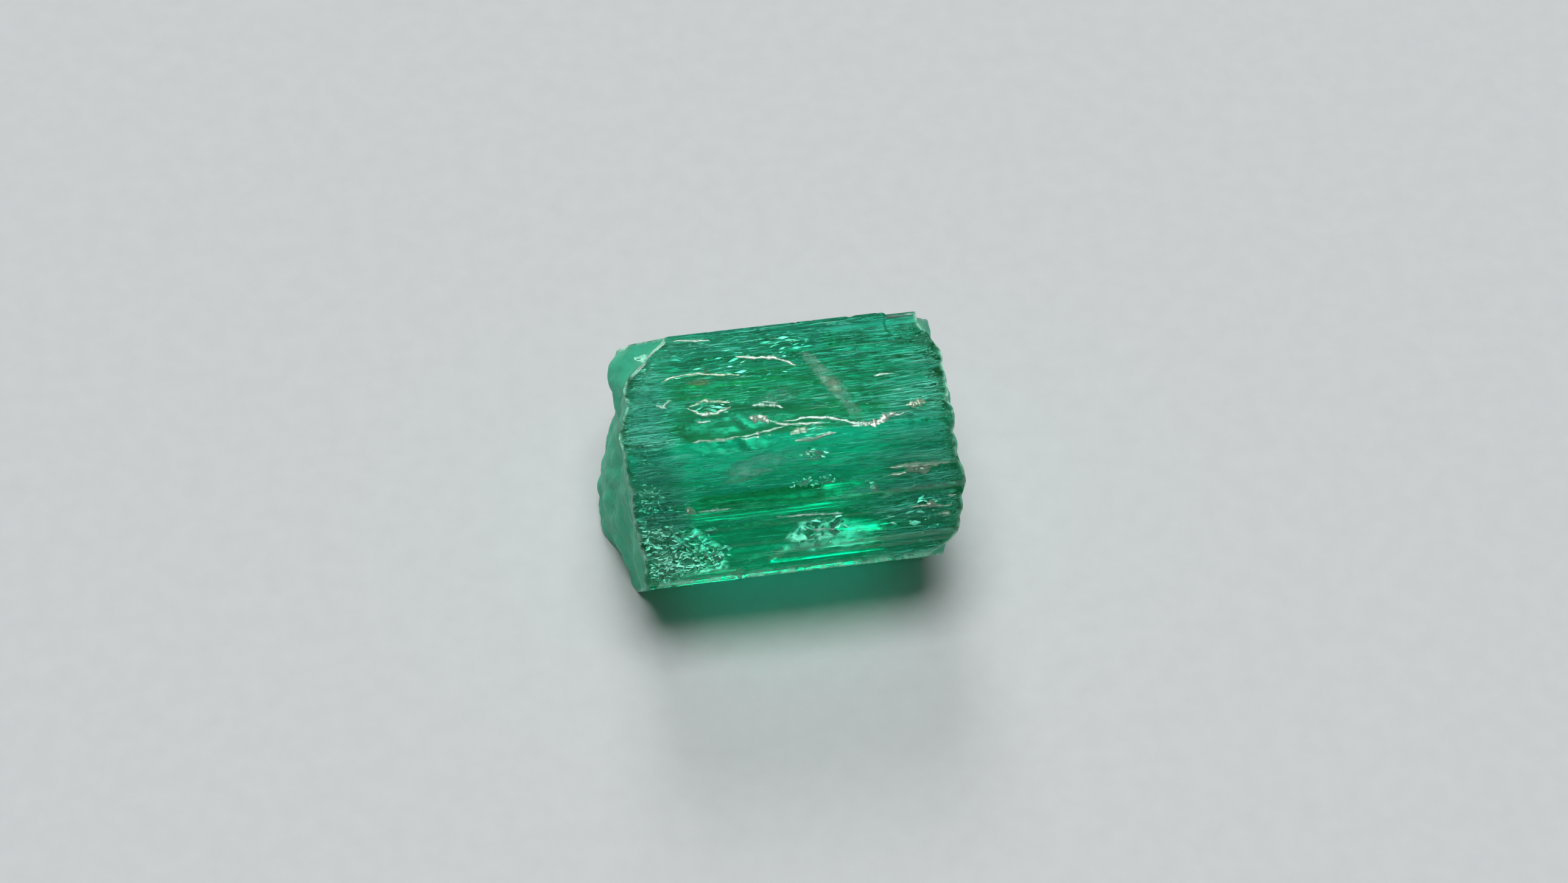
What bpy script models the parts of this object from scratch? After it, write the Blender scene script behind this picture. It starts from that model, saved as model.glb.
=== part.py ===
"""A rough emerald: one striated six-sided beryl prism with broken ends, lying on a prism face.

Metres, +Z up. +X runs along the crystal's length, -Y is the side that faces the viewer, and the
origin is the middle of the bounding box, on the surface that the crystal rests on.
"""
import math
import random

import bmesh
import bpy
import numpy as np
from mathutils import Matrix, Vector

MM = 0.001
NODE = "emerald_crystal"

# Driving dimensions: the widths of the prism faces. Faces of a beryl prism meet at 120 degrees,
# so the last two widths follow from the others.
TOP_WIDTH = 6.0 * MM
FRONT_UPPER_WIDTH = 7.2 * MM
FRONT_LOWER_WIDTH = 5.2 * MM
BACK_UPPER_WIDTH = 6.6 * MM
BACK_LOWER_WIDTH = FRONT_UPPER_WIDTH + FRONT_LOWER_WIDTH - BACK_UPPER_WIDTH
BOTTOM_WIDTH = TOP_WIDTH + (FRONT_UPPER_WIDTH - FRONT_LOWER_WIDTH + BACK_UPPER_WIDTH - BACK_LOWER_WIDTH) / 2
FACE_WIDTHS = {
    "front_lower": FRONT_LOWER_WIDTH,
    "front_upper": FRONT_UPPER_WIDTH,
    "top": TOP_WIDTH,
    "back_upper": BACK_UPPER_WIDTH,
    "back_lower": BACK_LOWER_WIDTH,
    "bottom": BOTTOM_WIDTH,
}
LENGTH = 14.6 * MM
FACE_TURN = math.radians(60.0)
CORNER_ROUND = 0.14 * MM

# Lengthwise growth lines: each prism face is a flight of shallow steps cut into it. The bottom
# keeps a plain strip in its middle, which is the flat that the crystal rests on.
SEED = 11
STEPS_PER_FACE = 9
STEP_DEPTH = 0.075 * MM
STEP_RISE = 0.05 * MM
REST_SHARE = 0.56

# Swellings and hollows of the two broken ends: (y, z, reach, height), where a positive height
# stands out along the crystal and a negative one is a chip.
LEFT_SWELLINGS = (
    (0.8 * MM, 0.8 * MM, 3.7 * MM, 1.50 * MM),
    (3.4 * MM, 8.2 * MM, 1.4 * MM, 0.60 * MM),
    (5.0 * MM, 8.6 * MM, 0.8 * MM, -0.90 * MM),
    (-2.6 * MM, 10.2 * MM, 3.4 * MM, 0.36 * MM),
    (3.3 * MM, 10.9 * MM, 1.8 * MM, -2.20 * MM),
    (6.4 * MM, 5.6 * MM, 1.6 * MM, -1.00 * MM),
    (5.5 * MM, 3.2 * MM, 1.2 * MM, -0.55 * MM),
    (-4.4 * MM, 0.6 * MM, 1.7 * MM, -0.15 * MM),
)
RIGHT_SWELLINGS = (
    (3.1 * MM, 10.7 * MM, 1.9 * MM, -0.85 * MM),
    (-1.2 * MM, 10.9 * MM, 1.6 * MM, -0.20 * MM),
    (-6.5 * MM, 4.4 * MM, 0.75 * MM, -1.40 * MM),
    (-5.2 * MM, 1.0 * MM, 2.5 * MM, -1.85 * MM),
    (-4.8 * MM, 7.2 * MM, 1.5 * MM, 0.20 * MM),
    (1.0 * MM, 3.0 * MM, 3.2 * MM, 0.30 * MM),
    (5.0 * MM, 2.0 * MM, 1.6 * MM, -0.60 * MM),
    (6.6 * MM, 5.2 * MM, 1.3 * MM, -0.50 * MM),
)

# The hackly break: waves this long, each with a height in proportion.
HACKLE_WAVES = (2.9 * MM, 1.7 * MM, 1.0 * MM)
HACKLE_HEIGHT = 0.045
FRACTURE_GRID = (34, 30)
CUTTER_REACH = 8.0 * MM
CUTTER_THICKNESS = 4.0 * MM

# Growth layers that stop part of the way along a face: (face, share across from, share to,
# from end -1 or +1, length, depth).
LAYERS = (
    ("top", 0.80, 1.10, 1, 2.1 * MM, 0.12 * MM),
    ("top", 0.12, 0.25, -1, 3.6 * MM, 0.10 * MM),
    ("front_upper", 0.10, 0.17, 1, 5.2 * MM, 0.12 * MM),
    ("front_upper", 0.44, 0.50, 1, 4.2 * MM, 0.13 * MM),
    ("front_upper", 0.62, 0.67, 1, 3.4 * MM, 0.10 * MM),
    ("front_upper", -0.04, 0.07, -1, 4.4 * MM, 0.16 * MM),
    ("back_upper", -0.06, 0.90, 1, 1.5 * MM, 0.34 * MM),
    ("back_upper", 0.30, 0.42, -1, 5.0 * MM, 0.12 * MM),
    ("back_upper", 0.70, 0.80, 1, 6.4 * MM, 0.10 * MM),
    ("back_lower", 0.35, 0.52, 1, 4.6 * MM, 0.12 * MM),
    ("front_lower", 0.40, 0.55, -1, 4.0 * MM, 0.12 * MM),
)

# Etch pits: (face, share across, place along x, length, width).
PITS = (
    ("top", 0.35, -2.4 * MM, 0.80 * MM, 0.34 * MM),
    ("top", 0.62, 1.3 * MM, 0.62 * MM, 0.30 * MM),
    ("front_upper", 0.80, 0.6 * MM, 0.70 * MM, 0.34 * MM),
    ("front_upper", 0.33, 2.9 * MM, 0.52 * MM, 0.40 * MM),
    ("back_upper", 0.50, -1.0 * MM, 0.80 * MM, 0.36 * MM),
    ("back_lower", 0.70, 3.2 * MM, 0.70 * MM, 0.36 * MM),
    ("front_lower", 0.65, -2.2 * MM, 0.62 * MM, 0.32 * MM),
)
PIT_DEPTH = 0.16 * MM

BERYL_GREEN = (0.02, 0.30, 0.16, 1.0)
GLOSS_ROUGHNESS = 0.12


def clear_scene():
    for thing in list(bpy.data.objects):
        bpy.data.objects.remove(thing, do_unlink=True)


def collection(name):
    made = bpy.data.collections.new(name)
    bpy.context.scene.collection.children.link(made)
    return made


def prism_faces():
    """{face: (start corner, unit vector across, unit vector inwards)} in (y, z), going up the front."""
    faces = {}
    corner = Vector((0.0, 0.0))
    heading = Matrix.Rotation(2 * FACE_TURN, 2) @ Vector((1.0, 0.0))
    for name, width in FACE_WIDTHS.items():
        inwards = Vector((heading.y, -heading.x))
        faces[name] = (corner.copy(), heading.copy(), inwards)
        corner = corner + heading * width
        heading = Matrix.Rotation(-FACE_TURN, 2) @ heading
    middle = sum(faces[name][0].x for name in ("front_upper", "back_lower")) / 2
    for start, _, _ in faces.values():
        start.x -= middle
    return faces


def on_face(face, share, depth=0.0):
    """The point (y, z) a share of the way across a prism face, and so far below its surface."""
    start, across, inwards = FACES[face]
    return start + across * (share * FACE_WIDTHS[face]) + inwards * depth


def step_edges(face, chance):
    """[(share from, share to, depth)] of the flat treads across one face."""
    cuts = sorted(chance.uniform(0.06, 0.94) for _ in range(STEPS_PER_FACE - 1))
    if face == "bottom":
        low, high = (1 - REST_SHARE) / 2, (1 + REST_SHARE) / 2
        cuts = [cut for cut in cuts if not low < cut < high] + [low, high]
        cuts.sort()
    edges = [0.0, *cuts, 1.0]
    treads = []
    for a, b in zip(edges, edges[1:]):
        rests = face == "bottom" and a < 0.5 < b
        treads.append((a, b, 0.0 if rests else chance.uniform(0.1, 1.0) * STEP_DEPTH))
    return treads


def outline():
    """The prism's cross-section in (y, z): rounded corners, and the treads of each face."""
    chance = random.Random(SEED)
    points = []
    for face, width in FACE_WIDTHS.items():
        rise = STEP_RISE / 2 / width
        for a, b, depth in step_edges(face, chance):
            low = max(a + rise, CORNER_ROUND / width)
            high = min(b - rise, 1 - CORNER_ROUND / width)
            if high - low > rise:
                points += [on_face(face, low, depth), on_face(face, high, depth)]
    return points


def prism():
    """The striated prism, longer than the crystal, as a closed mesh."""
    curve = bpy.data.curves.new("outline", "CURVE")
    curve.dimensions = "2D"
    curve.fill_mode = "BOTH"
    curve.extrude = LENGTH / 2 + CUTTER_THICKNESS / 2
    spline = curve.splines.new("POLY")
    points = outline()
    spline.points.add(len(points) - 1)
    for target, point in zip(spline.points, points):
        target.co = (point.x, point.y, 0.0, 1.0)
    spline.use_cyclic_u = True
    drawn = bpy.data.objects.new("outline", curve)
    bpy.context.scene.collection.objects.link(drawn)
    bpy.context.view_layer.update()
    graph = bpy.context.evaluated_depsgraph_get()
    mesh = bpy.data.meshes.new_from_object(drawn.evaluated_get(graph))
    bpy.data.objects.remove(drawn)
    # The outline's own x, y and z become y, z and x.
    mesh.transform(Matrix(((0, 0, 1, 0), (1, 0, 0, 0), (0, 1, 0, 0), (0, 0, 0, 1))))
    weld(mesh)
    solid = bpy.data.objects.new(NODE, mesh)
    PARTS.objects.link(solid)
    return solid


def weld(mesh):
    shape = bmesh.new()
    shape.from_mesh(mesh)
    bmesh.ops.remove_doubles(shape, verts=shape.verts, dist=1e-7)
    bmesh.ops.recalc_face_normals(shape, faces=shape.faces)
    shape.to_mesh(mesh)
    shape.free()


def hackle(y, z, seed):
    """The uneven break of an end: a sum of crossed waves, folded to give it crests."""
    chance = np.random.default_rng(seed)
    height = np.zeros_like(y)
    for wave in HACKLE_WAVES:
        for _ in range(3):
            way = chance.uniform(0, math.tau)
            phase = chance.uniform(0, math.tau)
            along = (y * math.cos(way) + z * math.sin(way)) / wave
            height += HACKLE_HEIGHT * wave * (np.abs(np.sin(math.pi * along + phase)) - 0.6)
    return height


def end_surface(y, z, side):
    """How far along x the broken end stands at (y, z). side is -1 for the left end, +1 for the right."""
    swellings = LEFT_SWELLINGS if side < 0 else RIGHT_SWELLINGS
    out = hackle(y, z, SEED + side)
    for y0, z0, reach, height in swellings:
        out = out + height * np.exp(-((y - y0) ** 2 + (z - z0) ** 2) / reach**2)
    return side * (LENGTH / 2 + out)


def cutter(name, mesh):
    """A cutting solid: not part of the crystal, and never rendered."""
    made = bpy.data.objects.new(name, mesh)
    made.hide_render = True
    made.display_type = "WIRE"
    CUTTERS.objects.link(made)
    return made


def mesh_of(shape, name):
    bmesh.ops.recalc_face_normals(shape, faces=shape.faces)
    mesh = bpy.data.meshes.new(name)
    shape.to_mesh(mesh)
    shape.free()
    return mesh


def fracture_cutter(side):
    """A block whose inner face is the broken end's surface."""
    shape = bmesh.new()
    bmesh.ops.create_grid(shape, x_segments=FRACTURE_GRID[0], y_segments=FRACTURE_GRID[1], size=CUTTER_REACH)
    spots = np.array([v.co for v in shape.verts])
    y, z = spots[:, 0], spots[:, 1] + MIDDLE_HEIGHT
    x = end_surface(y, z, side)
    for vert, place in zip(shape.verts, zip(x, y, z)):
        vert.co = place
    grown = bmesh.ops.extrude_face_region(shape, geom=shape.faces[:])
    for vert in grown["geom"]:
        if isinstance(vert, bmesh.types.BMVert):
            vert.co.x = side * (LENGTH / 2 + CUTTER_THICKNESS)
    return cutter(f"fracture_{'left' if side < 0 else 'right'}", mesh_of(shape, "fracture"))


def face_frame(face, share, x, depth=0.0):
    """A matrix at a spot of a prism face: its X along the crystal, Y across the face, Z inwards."""
    _, across, inwards = FACES[face]
    spot = on_face(face, share, depth)
    columns = ((1, 0, 0), (0, across.x, across.y), (0, inwards.x, inwards.y))
    return Matrix.LocRotScale(Vector((x, spot.x, spot.y)), Matrix(columns).transposed(), None)


def layer_cutter(number, face, low, high, end, length, depth):
    """A slab that takes one growth layer off a face, from one end of the crystal inwards."""
    shape = bmesh.new()
    bmesh.ops.create_cube(shape, size=1.0)
    far = LENGTH / 2 + CUTTER_THICKNESS / 3
    near = LENGTH / 2 - length
    size = Vector((far - near, (high - low) * FACE_WIDTHS[face], 2 * depth))
    bmesh.ops.scale(shape, vec=size, verts=shape.verts)
    # The inner end of the slab is drawn out to a slant, as a layer thins before it stops.
    for vert in shape.verts:
        if vert.co.x * end < 0:
            vert.co.x -= end * (0.35 * length if vert.co.y > 0 else 0.0)
    place = face_frame(face, (low + high) / 2, end * (far + near) / 2)
    bmesh.ops.transform(shape, matrix=place, verts=shape.verts)
    return cutter(f"layer_{number}", mesh_of(shape, "layer"))


def pit_cutter(number, face, share, x, length, width):
    """A flattened ball that leaves a shallow etch pit."""
    shape = bmesh.new()
    bmesh.ops.create_icosphere(shape, subdivisions=2, radius=1.0)
    bmesh.ops.scale(shape, vec=Vector((length / 2, width / 2, PIT_DEPTH)), verts=shape.verts)
    bmesh.ops.transform(shape, matrix=face_frame(face, share, x), verts=shape.verts)
    return cutter(f"pit_{number}", mesh_of(shape, "pit"))


def cut(solid, tool):
    modifier = solid.modifiers.new(tool.name, "BOOLEAN")
    modifier.operation = "DIFFERENCE"
    modifier.solver = "EXACT"
    modifier.object = tool


def centre(solid):
    """Moves the crystal and its cutters so that its box is centred over the origin, and stands at z = 0."""
    bpy.context.view_layer.update()
    shown = solid.evaluated_get(bpy.context.evaluated_depsgraph_get())
    corners = np.array([tuple(v.co) for v in shown.data.vertices])
    low, high = corners.min(axis=0), corners.max(axis=0)
    shift = Vector((-(low[0] + high[0]) / 2, -(low[1] + high[1]) / 2, -low[2]))
    for thing in [solid, *CUTTERS.objects]:
        thing.data.transform(Matrix.Translation(shift))
    print("centred by (mm)", [round(value / MM, 4) for value in shift])


def beryl():
    """Vitreous green beryl."""
    material = bpy.data.materials.new("beryl")
    material.use_nodes = True
    shader = material.node_tree.nodes["Principled BSDF"]
    shader.inputs["Base Color"].default_value = BERYL_GREEN
    shader.inputs["Roughness"].default_value = GLOSS_ROUGHNESS
    shader.inputs["Metallic"].default_value = 0.0
    return material


clear_scene()
PARTS = collection(NODE)
CUTTERS = collection("cutters")
FACES = prism_faces()
MIDDLE_HEIGHT = (FRONT_LOWER_WIDTH + FRONT_UPPER_WIDTH) * math.sin(FACE_TURN) / 2

crystal = prism()
for number, layer in enumerate(LAYERS):
    cut(crystal, layer_cutter(number, *layer))
for number, pit in enumerate(PITS):
    cut(crystal, pit_cutter(number, *pit))
for side in (-1, 1):
    cut(crystal, fracture_cutter(side))
centre(crystal)
crystal.data.materials.append(beryl())
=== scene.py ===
import math

import bpy
import numpy as np
from mathutils import Matrix, Vector


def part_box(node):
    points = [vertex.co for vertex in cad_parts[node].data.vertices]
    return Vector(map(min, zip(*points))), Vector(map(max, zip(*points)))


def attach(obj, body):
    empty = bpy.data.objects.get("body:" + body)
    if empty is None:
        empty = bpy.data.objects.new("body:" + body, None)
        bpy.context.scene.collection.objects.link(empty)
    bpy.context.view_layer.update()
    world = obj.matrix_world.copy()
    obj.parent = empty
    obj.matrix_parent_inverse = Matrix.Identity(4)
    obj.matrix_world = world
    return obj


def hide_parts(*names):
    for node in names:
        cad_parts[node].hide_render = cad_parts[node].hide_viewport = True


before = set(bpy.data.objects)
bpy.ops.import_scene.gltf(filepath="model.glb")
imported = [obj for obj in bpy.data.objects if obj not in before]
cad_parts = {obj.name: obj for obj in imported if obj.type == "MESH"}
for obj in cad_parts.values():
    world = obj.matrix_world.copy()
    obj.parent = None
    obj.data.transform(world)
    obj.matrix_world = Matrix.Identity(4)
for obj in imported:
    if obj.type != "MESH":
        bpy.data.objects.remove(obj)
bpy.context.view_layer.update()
crystalLow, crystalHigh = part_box("emerald_crystal")

mm = 0.001
print("frame loaded")


# Numbers drawn in a fixed order, so every run gives the same crystal
def drawer(seed):
    return np.random.default_rng(seed)


# Smooth unevenness: the sum of crossed sine waves about `size` long, between about -1 and 1
def waves(a, b, size, seed, count=7):
    draw = drawer(seed)
    total = np.zeros(np.broadcast(a, b).shape)
    for _ in range(count):
        way = draw.uniform(0, math.tau)
        phase = draw.uniform(0, math.tau)
        length = size * draw.uniform(0.6, 1.6)
        total = total + np.sin(math.tau * (a * math.cos(way) + b * math.sin(way)) / length + phase)
    return total / count * 1.6


# Scallops of a glassy break: the lowest of many bowls, |p - centre|^2 / size^2 + level, less its middle
def scallops(a, b, size, seed, low, high):
    draw = drawer(seed)
    count = int((high[0] - low[0]) * (high[1] - low[1]) / size**2) + 1
    lowest = np.full(a.shape, 9.0)
    for _ in range(count):
        y, z = draw.uniform(low[0], high[0]), draw.uniform(low[1], high[1])
        level = draw.uniform(0, 0.5)
        lean = draw.uniform(-0.5, 0.5, 2)
        bowl = ((a - y) ** 2 + (b - z) ** 2) / size**2 + level
        bowl = bowl + (lean[0] * (a - y) + lean[1] * (b - z)) / size
        lowest = np.minimum(lowest, bowl)
    return lowest - 0.5


# 0 below low, 1 above high, smooth between: 3t^2 - 2t^3
def smoothStep(value, low, high):
    t = np.clip((value - low) / (high - low), 0, 1)
    return t * t * (3 - 2 * t)


# Makes an object from arrays of points and faces, shaded smooth except over sharp edges
def makePiece(name, points, faces, material, sharpDegrees=None):
    mesh = bpy.data.meshes.new(name)
    mesh.from_pydata(np.asarray(points).tolist(), [], [list(face) for face in faces])
    mesh.validate()
    piece = bpy.data.objects.new(name, mesh)
    bpy.context.scene.collection.objects.link(piece)
    mesh.materials.append(material)
    if sharpDegrees is not None:
        mesh.shade_smooth()
        mesh.set_sharp_from_angle(angle=math.radians(sharpDegrees))
    return piece


# Faces of a closed shape: rows x cols points in rings, then the two poles that close its first and last ring
def closedFaces(rows, cols):
    row, col = np.meshgrid(np.arange(rows - 1), np.arange(cols), indexing="ij")
    after = (col + 1) % cols
    here, there = row * cols, (row + 1) * cols
    quads = np.stack([here + col, there + col, there + after, here + after], -1).reshape(-1, 4)
    col = np.arange(cols)
    after = (col + 1) % cols
    last = (rows - 1) * cols
    firstFan = np.stack([np.full(cols, rows * cols), col, after], -1)
    lastFan = np.stack([np.full(cols, rows * cols + 1), last + after, last + col], -1)
    return quads.tolist() + firstFan.tolist() + lastFan.tolist()


prism = {
    "widths": {                     # prism faces in turn, up the front and down the back
        "frontLower": 5.2 * mm,
        "frontUpper": 7.2 * mm,
        "top": 6.0 * mm,
        "backUpper": 6.6 * mm,
        "backLower": 5.8 * mm,
        "bottom": 7.4 * mm,
    },
    "length": 14.6 * mm,
    "turn": math.radians(60),
    "aroundStep": 0.088 * mm,
    "alongStep": 0.16 * mm,
    "ringStep": 0.13 * mm,
    "cornerRound": 0.06 * mm,
    "cornerCut": 0.004 * mm,
    "cornerNick": 0.035 * mm,
    "cornerCurve": 1.5,
    "nickSize": 0.9 * mm,
    "nickFrom": 0.45,
    "rimWidth": 0.24 * mm,
    "rimCurve": 1.6,
    "wearSize": 2.3 * mm,
    "rimWear": (0.02 * mm, 0.08 * mm),
    "rimFrost": 0.21 * mm,
    "edgeFrost": (0.30 * mm, 0.8),
    "endFrost": ((1.9 * mm, 0.16), (1.1 * mm, 0.20)),
    "restShare": 0.56,
    "rimStations": (0, 0.03, 0.07, 0.12, 0.18, 0.25),    # millimetres from each end
    "between": (0.38 * mm, 0.30 * mm),
    "endReach": 5.5 * mm,
    "nickSeed": 90,
    "wearSeed": 95,
    "seed": 11,
}

# Swellings of the broken ends: (y, z, reach, height), a negative height being a chip
leftSwellings = (
    (0.8 * mm, 0.8 * mm, 3.7 * mm, 1.50 * mm),
    (3.4 * mm, 8.2 * mm, 1.4 * mm, 0.60 * mm),
    (5.0 * mm, 8.6 * mm, 0.8 * mm, -0.90 * mm),
    (-2.6 * mm, 10.2 * mm, 3.4 * mm, 0.36 * mm),
    (3.3 * mm, 10.9 * mm, 1.8 * mm, -2.20 * mm),
    (6.4 * mm, 5.6 * mm, 1.6 * mm, -1.00 * mm),
    (5.5 * mm, 3.2 * mm, 1.2 * mm, -0.55 * mm),
    (-4.4 * mm, 0.6 * mm, 1.7 * mm, -0.15 * mm),
)
rightSwellings = (
    (3.1 * mm, 10.7 * mm, 1.9 * mm, -0.85 * mm),
    (-1.2 * mm, 10.9 * mm, 1.6 * mm, -0.20 * mm),
    (-6.5 * mm, 4.4 * mm, 0.75 * mm, -1.40 * mm),
    (-5.2 * mm, 1.0 * mm, 2.5 * mm, -1.85 * mm),
    (-4.8 * mm, 7.2 * mm, 1.5 * mm, 0.20 * mm),
    (1.0 * mm, 3.0 * mm, 3.2 * mm, 0.30 * mm),
    (5.0 * mm, 2.0 * mm, 1.6 * mm, -0.60 * mm),
    (6.6 * mm, 5.2 * mm, 1.3 * mm, -0.50 * mm),
)
breakage = {
    "waves": (2.9 * mm, 1.7 * mm, 1.0 * mm),
    "waveHeight": 0.045,
    "foldMiddle": 0.6,
    "wavesEach": 3,
    "scallops": ((1.5 * mm, 0.03 * mm), (0.55 * mm, 0.012 * mm)),
    "low": (-8 * mm, -1 * mm),
    "high": (8 * mm, 12 * mm),
    "ledge": 0.05 * mm,
    "ledgeSize": 3.6 * mm,
    "ledgeEdge": (0.42, 0.58),
    "grain": 0.008 * mm,
    "grainSize": 0.35 * mm,
    "seeds": {"scallops": 40, "ledge": 60, "grain": 70},
}

# Growth layers that stop part of the way: (face, share from, share to, end, length, depth)
layers = (
    ("top", 0.80, 1.10, 1, 2.1 * mm, 0.12 * mm),
    ("frontUpper", 0.10, 0.17, 1, 8.6 * mm, 0.12 * mm),
    ("frontUpper", 0.44, 0.50, 1, 4.2 * mm, 0.13 * mm),
    ("frontUpper", 0.62, 0.67, 1, 3.4 * mm, 0.10 * mm),
    ("frontUpper", -0.04, 0.07, -1, 4.4 * mm, 0.16 * mm),
    ("backUpper", -0.06, 0.90, 1, 1.5 * mm, 0.34 * mm),
    ("backUpper", 0.30, 0.42, -1, 5.0 * mm, 0.12 * mm),
    ("backUpper", 0.70, 0.80, 1, 6.4 * mm, 0.10 * mm),
    ("backLower", 0.35, 0.52, 1, 4.6 * mm, 0.12 * mm),
    ("frontLower", 0.40, 0.55, -1, 4.0 * mm, 0.12 * mm),
)
striae = {
    "treads": 9,
    "treadPlaces": (0.05, 0.95),
    "treadDepth": 0.007 * mm,
    "treadShares": (0.1, 1.0),
    "grooves": 60,
    "grooveWidth": (0.05 * mm, 0.26 * mm),
    "grooveDepth": (0.0005 * mm, 0.003 * mm),
    "grooveLength": (2.0 * mm, 14.0 * mm),
    "edge": 0.03 * mm,
    "fade": 0.5 * mm,
    "fadeShares": (0.2, 2.0),
    "layerShare": {"frontUpper": 0.4},
    "layerSlant": 0.3,
    "layerEnd": (-0.10 * mm, 0.05 * mm),
    "drop": 0.03 * mm,
}


# Start corner, direction across and direction inwards of each prism face, in (y, z)
def prismFaces():
    found = {}
    corner = np.zeros(2)
    heading = 2 * prism["turn"]
    for name, width in prism["widths"].items():
        across = np.array([math.cos(heading), math.sin(heading)])
        found[name] = (corner, across, np.array([across[1], -across[0]]), width)
        corner = corner + across * width
        heading -= prism["turn"]
    middle = (found["frontUpper"][0][0] + found["backLower"][0][0]) / 2
    return {name: (start - (middle, 0), across, inwards, width)
            for name, (start, across, inwards, width) in found.items()}


# How far along x an end stands: half the length + Gaussian swellings + folded waves + scallops + ledges
def endSurface(y, z, side):
    out = np.zeros(np.shape(y))
    draw = drawer(prism["seed"] + side)
    for wave in breakage["waves"]:
        for _ in range(breakage["wavesEach"]):
            way = draw.uniform(0, math.tau)
            phase = draw.uniform(0, math.tau)
            along = (y * math.cos(way) + z * math.sin(way)) / wave
            fold = np.abs(np.sin(math.pi * along + phase)) - breakage["foldMiddle"]
            out = out + breakage["waveHeight"] * wave * fold
    for y0, z0, reach, height in (leftSwellings if side < 0 else rightSwellings):
        out = out + height * np.exp(-((y - y0) ** 2 + (z - z0) ** 2) / reach**2)
    seeds = breakage["seeds"]
    for order, (size, height) in enumerate(breakage["scallops"]):
        seed = seeds["scallops"] + 10 * order + side
        out = out + height * scallops(y, z, size, seed, breakage["low"], breakage["high"])
    steps = waves(y, z, breakage["ledgeSize"], seeds["ledge"] + side) * 2
    rise = smoothStep(steps - np.floor(steps), *breakage["ledgeEdge"])
    out = out + breakage["ledge"] / 2 * (np.floor(steps) + rise)
    out = out + breakage["grain"] * waves(y, z, breakage["grainSize"], seeds["grain"] + side)
    return side * (prism["length"] / 2 + out)


# Depth of a face's relief at (across, x): treads, fine lengthwise grooves, and layers that stop short
def faceRelief(name, width, across, x, leftX, rightX, seed):
    draw = drawer(seed)
    depth = np.full(x.shape, striae["drop"])
    edge = striae["edge"]
    cuts = np.sort(draw.uniform(*striae["treadPlaces"], striae["treads"] - 1)) * width
    level = draw.uniform(*striae["treadShares"]) * striae["treadDepth"]
    depth = depth + level
    for cut in cuts:
        newLevel = draw.uniform(*striae["treadShares"]) * striae["treadDepth"]
        depth = depth + (newLevel - level) * smoothStep(across, cut - edge, cut + edge)
        level = newLevel
    for _ in range(striae["grooves"]):
        place = draw.uniform(0, width)
        half = draw.uniform(*striae["grooveWidth"]) / 2
        deep = draw.uniform(*striae["grooveDepth"])
        length = draw.uniform(*striae["grooveLength"])
        start = draw.uniform(-prism["length"] / 2 - length / 2, prism["length"] / 2 - length / 2)
        acrossMask = smoothStep(across, place - half - edge, place - half)
        acrossMask = acrossMask * (1 - smoothStep(across, place + half, place + half + edge))
        fade = striae["fade"] * draw.uniform(*striae["fadeShares"])
        alongMask = smoothStep(x, start, start + fade)
        alongMask = alongMask * (1 - smoothStep(x, start + length - fade, start + length))
        depth = depth + deep * acrossMask * alongMask
    for face, low, high, end, length, deep in layers:
        if face == name:
            acrossMask = smoothStep(across, low * width - edge, low * width + edge)
            acrossMask = acrossMask * (1 - smoothStep(across, high * width - edge, high * width + edge))
            reach = (rightX - x) if end > 0 else (x - leftX)
            slant = striae["layerSlant"] * length * across / width
            early, late = striae["layerEnd"]
            alongMask = 1 - smoothStep(reach + slant, length + early, length + late)
            depth = depth + striae["layerShare"].get(name, 1) * deep * acrossMask * alongMask
    if name == "bottom":
        restLow, restHigh = (1 - prism["restShare"]) / 2 * width, (1 + prism["restShare"]) / 2 * width
        flat = smoothStep(across, restLow, restLow + edge)
        flat = flat * (1 - smoothStep(across, restHigh - edge, restHigh))
        depth = depth * (1 - flat)
    return depth


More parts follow.
